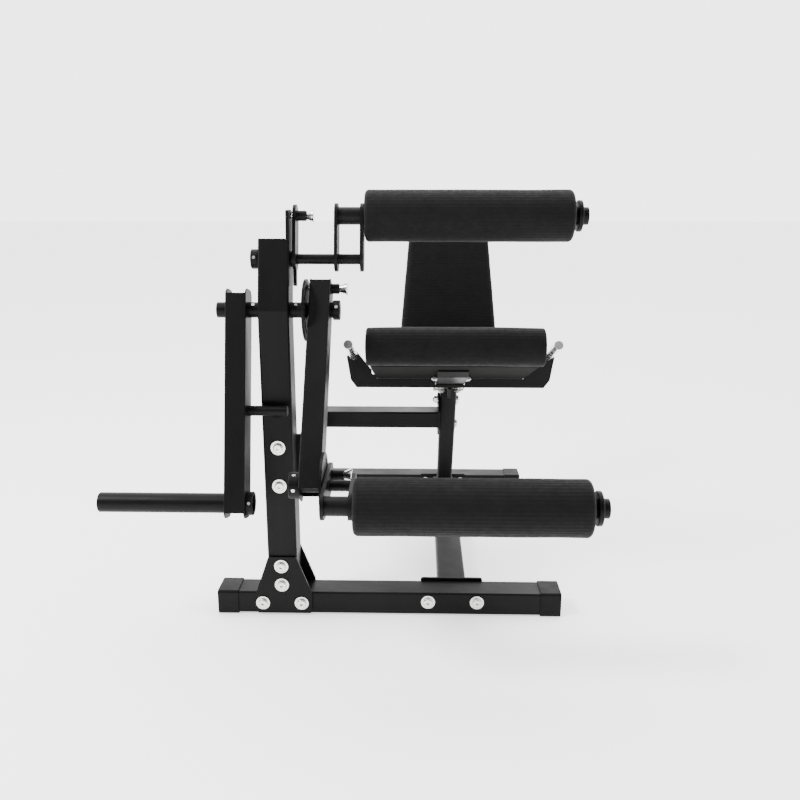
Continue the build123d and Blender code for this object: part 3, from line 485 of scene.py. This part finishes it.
def make_backrest():
    """Tapered pad, ribbed across, with a soft front edge."""
    low, high = seat_extent("backrest_pad")
    verts = np.array([v.co for v in NODES["backrest_pad"].data.vertices])
    local_h = (verts - SEAT_ORIGIN) @ SEAT_UP
    upper = verts[local_h > high[2] - 0.08]
    lower = verts[local_h < low[2] + 0.06]
    middle_x = (low[0] + high[0]) / 2
    low_half = (lower[:, 0].max() - lower[:, 0].min()) / 2 + 0.001
    top_half = (upper[:, 0].max() - upper[:, 0].min()) / 2 - 0.004
    depth = high[1] - low[1]
    corner, rounding, skin = 0.026, 0.014, 0.001
    crown_height, lump_height, fade_length = 0.0035, 0.0008, 0.02
    section_points = 120
    count = round((high[2] - low[2]) / RIB_PITCH) * RIB_STEPS
    heights = np.linspace(low[2] + skin, high[2] - skin, count + 1)
    loops = []
    for k, h in enumerate(heights):
        part = (h - low[2]) / (high[2] - low[2])
        edge = min(h - heights[0], heights[-1] - h)
        tuck, press = round_inset(corner, edge), round_inset(rounding, edge)
        half_w = low_half + (top_half - low_half) * part - tuck
        section = rounded_section(half_w, depth - 0.002, 0.014, 0.005)
        shape, _ = resample(section, section_points)
        front = np.clip((depth * 0.75 - shape[:, 1]) / (depth * 0.5), 0, 1)
        shape = soften(shape, 2)
        normal = outward(shape)
        across = shape[:, 0] / half_w
        crown = crown_height * (1 - across ** 2) * (1 - (2 * part - 1) ** 2) * np.clip(-normal[:, 1], 0, 1)
        lump = lump_height * low_noise((h, 0.3, 0.1), 14.0, 5.3)
        fade = min(1.0, edge / fade_length)
        reach = RIB_HEIGHT * cos(tau * k / RIB_STEPS) * front * fade + crown + lump * front - skin
        shape = shape + normal * reach[:, None]
        shape[:, 1] = shape[:, 1] * (1 - press / depth * 1.2) + press
        loops.append(from_seat_rows(middle_x + shape[:, 0], low[1] + shape[:, 1], h))
    for end in (0, -1):
        edge_loop = loops[end]
        centre = edge_loop.mean(0)
        spine = edge_loop.copy()
        spine[:, 1:] = centre[1:]
        extra = [edge_loop * (1 - f) + spine * f for f in (0.3, 0.6, 0.85, 1.0)]
        loops = extra[::-1] + loops if end == 0 else loops + extra
    verts, faces = loft(loops)
    pad = add_piece("backrest_cushion", verts, faces, "frame", "seat_cover")
    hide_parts("backrest_pad")


def from_seat_rows(x, a, h):
    """Like from_seat, for points that share one height but not one x."""
    return np.outer(np.ones_like(a), SEAT_ORIGIN + h * SEAT_UP) + np.outer(a, SEAT_AHEAD) \
        + np.outer(x, (1, 0, 0))


def make_roller(name, node, body, seed):
    """Foam roller: ribs run along it, its ends are rounded and slightly dished."""
    low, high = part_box(node)
    centre_y, centre_z = (low.y + high.y) / 2, (low.z + high.z) / 2
    radius, bore = (high.z - low.z) / 2, ROLLER_BORE_R
    ribs = round(tau * radius / RIB_PITCH)
    around = np.arange(ribs * RIB_STEPS) * tau / (ribs * RIB_STEPS)
    wave = np.cos(np.arange(len(around)) * tau / RIB_STEPS)
    rounding, dish, end_gap, skin = 0.011, 0.0025, 0.0005, 0.0008
    lump_height, lump_scale = 0.0009, 0.06
    face_r = np.linspace(bore, radius - rounding, 9)
    dip = dish * np.sin(np.clip((face_r - bore) / (radius - rounding - bore), 0, 1) * pi)
    # profile from the bore outwards: (x, radius, weight of the ribs and lumps)
    profile = [(low.x + end_gap + d, r, 0.0) for r, d in zip(face_r, dip)]
    for t in np.linspace(0, pi / 2, 9)[1:]:
        along = rounding * (1 - cos(t))
        out = rounding * sin(t)
        profile.append((low.x + end_gap + along, radius - rounding + out, (t / (pi / 2)) ** 2))
    start = profile[-1][0]
    profile += [(x, radius, 1.0) for x in np.linspace(start, low.x + high.x - start, 46)[1:-1]]
    profile += [(low.x + high.x - x, r, w) for x, r, w in profile[::-1] if x <= start]
    loops = []
    for x, r, weight in profile:
        places = [(x, cos(t) * lump_scale, sin(t) * lump_scale) for t in around[::RIB_STEPS]]
        lump = np.array([low_noise(place, 11.0, seed) for place in places])
        lump = np.repeat(lump, RIB_STEPS) * lump_height * weight
        rr = r + (RIB_HEIGHT * wave + lump - skin) * weight
        loops.append(np.column_stack([np.full_like(around, x), centre_y + rr * np.cos(around),
                                      centre_z + rr * np.sin(around)]))
    verts, faces = loft(loops, ring=True)
    roller = add_piece(name, verts, faces, body, "roller_foam")
    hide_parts(node)


make_camera()
make_studio()
dress_cad_nodes()
make_seat()
make_backrest()
make_roller("lower_foam_cover", "lower_foam_roller", "lower_roller", 1.7)
make_roller("thigh_foam_cover", "thigh_foam_roller", "thigh_roller", 4.2)
